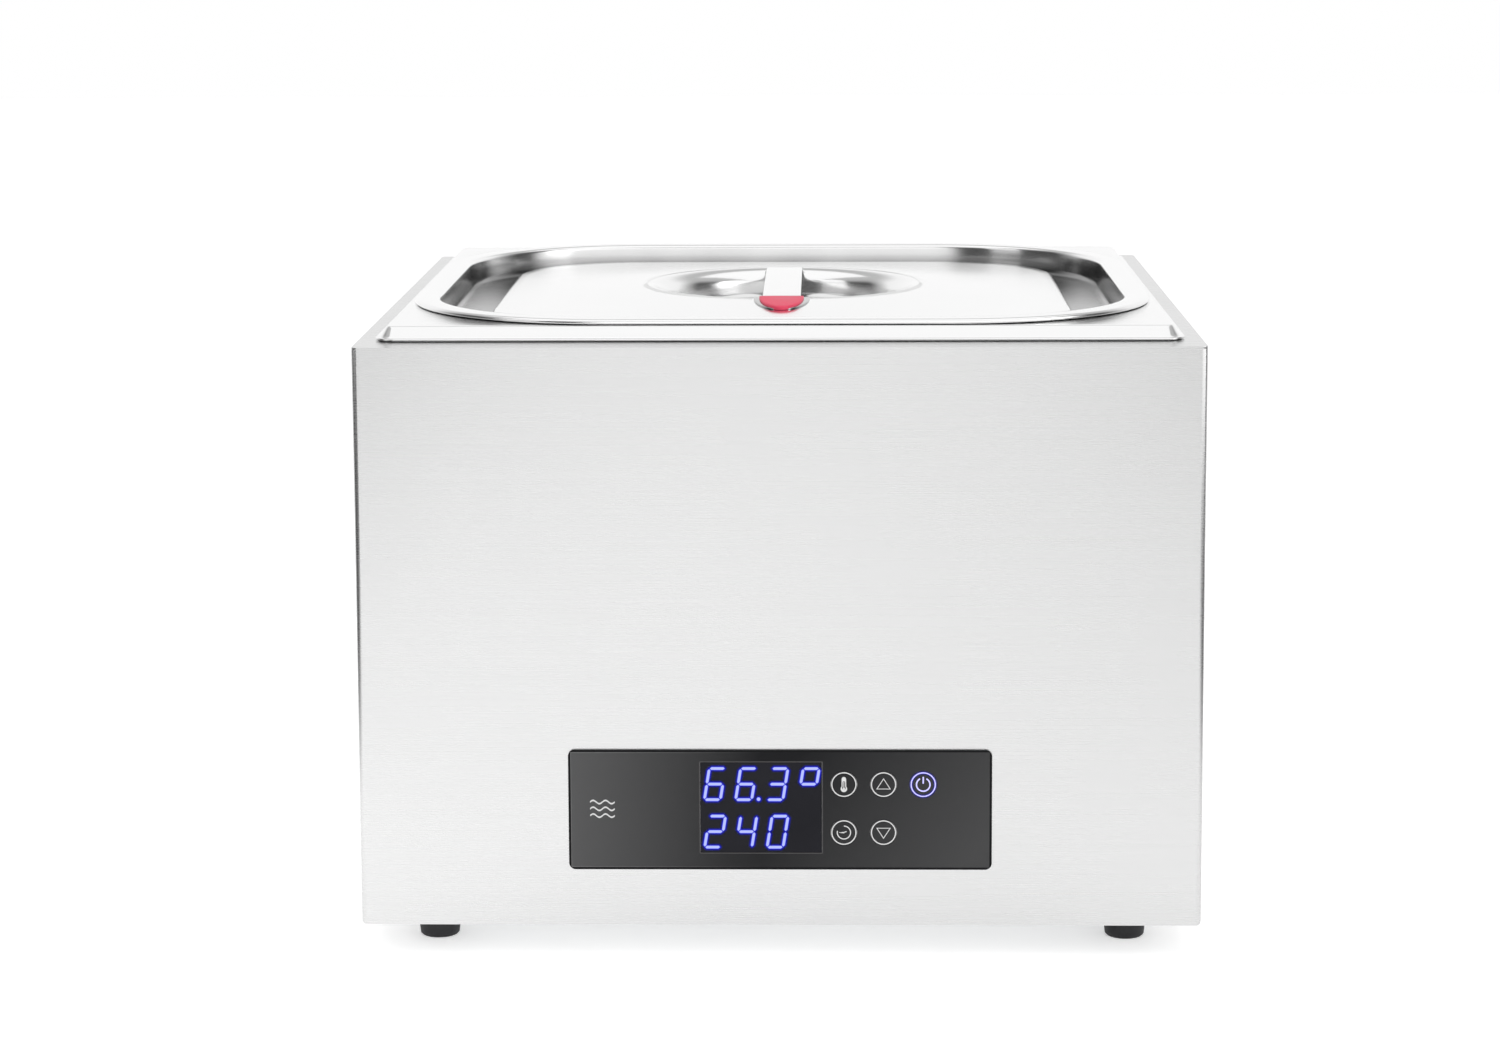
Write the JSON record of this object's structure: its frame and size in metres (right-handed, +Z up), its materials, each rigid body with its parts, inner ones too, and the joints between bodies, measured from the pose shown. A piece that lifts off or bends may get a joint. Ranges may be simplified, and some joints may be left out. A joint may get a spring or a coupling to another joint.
{
  "type": "sous vide water bath",
  "caption": "Countertop sous vide water bath: drawn tank in a folded steel casing, dished lift-off lid with strap handle, black key panel with a lit display, rubber feet.",
  "frame": {"origin": "under the middle of the object's box, on the plane of the four feet", "axes": "+Z up, -Y out of the front with the control panel, +X to the right of someone facing the front"},
  "size_m": [0.375, 0.374, 0.2846],
  "materials": {
    "brushed_casing": "horizontal brushed stainless steel",
    "inner_sheet": "mill-finish stainless sheet",
    "tank_steel": "satin drawn stainless steel",
    "lid_steel": "satin pressed stainless steel",
    "red_silicone": "matt red silicone",
    "seal_rubber": "black silicone foam",
    "heater_silicone": "orange silicone sheet",
    "wool": "pressed mineral fibre",
    "zinc_fastener": "bright zinc",
    "brass_parts": "turned brass",
    "brown_plastic": "phenolic moulding",
    "circuit_board": "green solder mask",
    "copper_iron": "varnished winding",
    "blue_plastic": "moulded relay case",
    "sink_aluminium": "extruded aluminium",
    "green_plastic": "terminal moulding",
    "capacitor_film": "yellow film sleeve",
    "display_body": "dark display face",
    "switch_plastic": "black moulding",
    "panel_gloss": "gloss black panel film",
    "window_gloss": "smoked window",
    "foot_rubber": "matt black rubber",
    "inlet_plastic": "textured black nylon",
    "pin_metal": "nickel-plated brass",
    "lead_sleeve": "heat-proof sleeving"
  },
  "bodies": {
    "root": {"casing_wrap": "brushed_casing", "top_deck": "brushed_casing", "rear_panel": "inner_sheet", "base_plate": "inner_sheet", "tank": "tank_steel", "tank_gasket": "seal_rubber", "heater_mat_base": "heater_silicone", "heater_mats_side": "heater_silicone", "insulation_base": "wool", "insulation_sides": "wool", "clamp_plate": "inner_sheet", "tank_studs": "zinc_fastener", "tank_nuts": "zinc_fastener", "temperature_probe": "tank_steel", "probe_clip": "inner_sheet", "safety_cutout": "brown_plastic", "power_board": "circuit_board", "transformer": "copper_iron", "relays": "blue_plastic", "heat_sink": "sink_aluminium", "terminal_block": "green_plastic", "filter_parts": "capacitor_film", "board_pillars": "brass_parts", "board_screws": "zinc_fastener", "control_board": "circuit_board", "display_upper": "display_body", "display_lower": "display_body", "key_switches": "switch_plastic", "control_chip": "switch_plastic", "control_studs": "zinc_fastener", "control_nuts": "zinc_fastener", "panel_overlay": "panel_gloss", "display_window": "window_gloss", "foot_front_left": "foot_rubber", "foot_front_right": "foot_rubber", "foot_rear_left": "foot_rubber", "foot_rear_right": "foot_rubber", "foot_screws": "zinc_fastener", "foot_nuts": "zinc_fastener", "base_screws": "zinc_fastener", "rear_screws": "zinc_fastener", "inlet_body": "inlet_plastic", "inlet_pins": "pin_metal", "inlet_screws": "zinc_fastener", "earth_stud": "brass_parts", "earth_nuts": "brass_parts", "mains_leads": "lead_sleeve", "heater_leads": "lead_sleeve"},
    "lid": {"lid_plate": "lid_steel", "handle_dish": "lid_steel", "handle_strap": "lid_steel", "thumb_pad": "red_silicone"},
    "tray": {"tray": "tank_steel"},
    "key_temperature": {"key_temperature": "panel_gloss"},
    "key_up": {"key_up": "panel_gloss"},
    "key_power": {"key_power": "panel_gloss"},
    "key_timer": {"key_timer": "panel_gloss"},
    "key_down": {"key_down": "panel_gloss"}
  },
  "joints": [
    {"name": "lid_lift", "type": "slide", "parent": "root", "child": "lid", "axis": [0, 0, 1], "range_m": [0, 0.12]},
    {"name": "tray_lift", "type": "slide", "parent": "root", "child": "tray", "axis": [0, 0, 1], "range_m": [0, 0.08]},
    {"name": "key_temperature_press", "type": "slide", "parent": "root", "child": "key_temperature", "axis": [0, 1, 0], "range_m": [0, 0.0004], "stiffness_N_per_m": 1500, "springref_m": -0.0002},
    {"name": "key_up_press", "type": "slide", "parent": "root", "child": "key_up", "axis": [0, 1, 0], "range_m": [0, 0.0004], "stiffness_N_per_m": 1500, "springref_m": -0.0002},
    {"name": "key_power_press", "type": "slide", "parent": "root", "child": "key_power", "axis": [0, 1, 0], "range_m": [0, 0.0004], "stiffness_N_per_m": 1500, "springref_m": -0.0002},
    {"name": "key_timer_press", "type": "slide", "parent": "root", "child": "key_timer", "axis": [0, 1, 0], "range_m": [0, 0.0004], "stiffness_N_per_m": 1500, "springref_m": -0.0002},
    {"name": "key_down_press", "type": "slide", "parent": "root", "child": "key_down", "axis": [0, 1, 0], "range_m": [0, 0.0004], "stiffness_N_per_m": 1500, "springref_m": -0.0002}
  ]
}
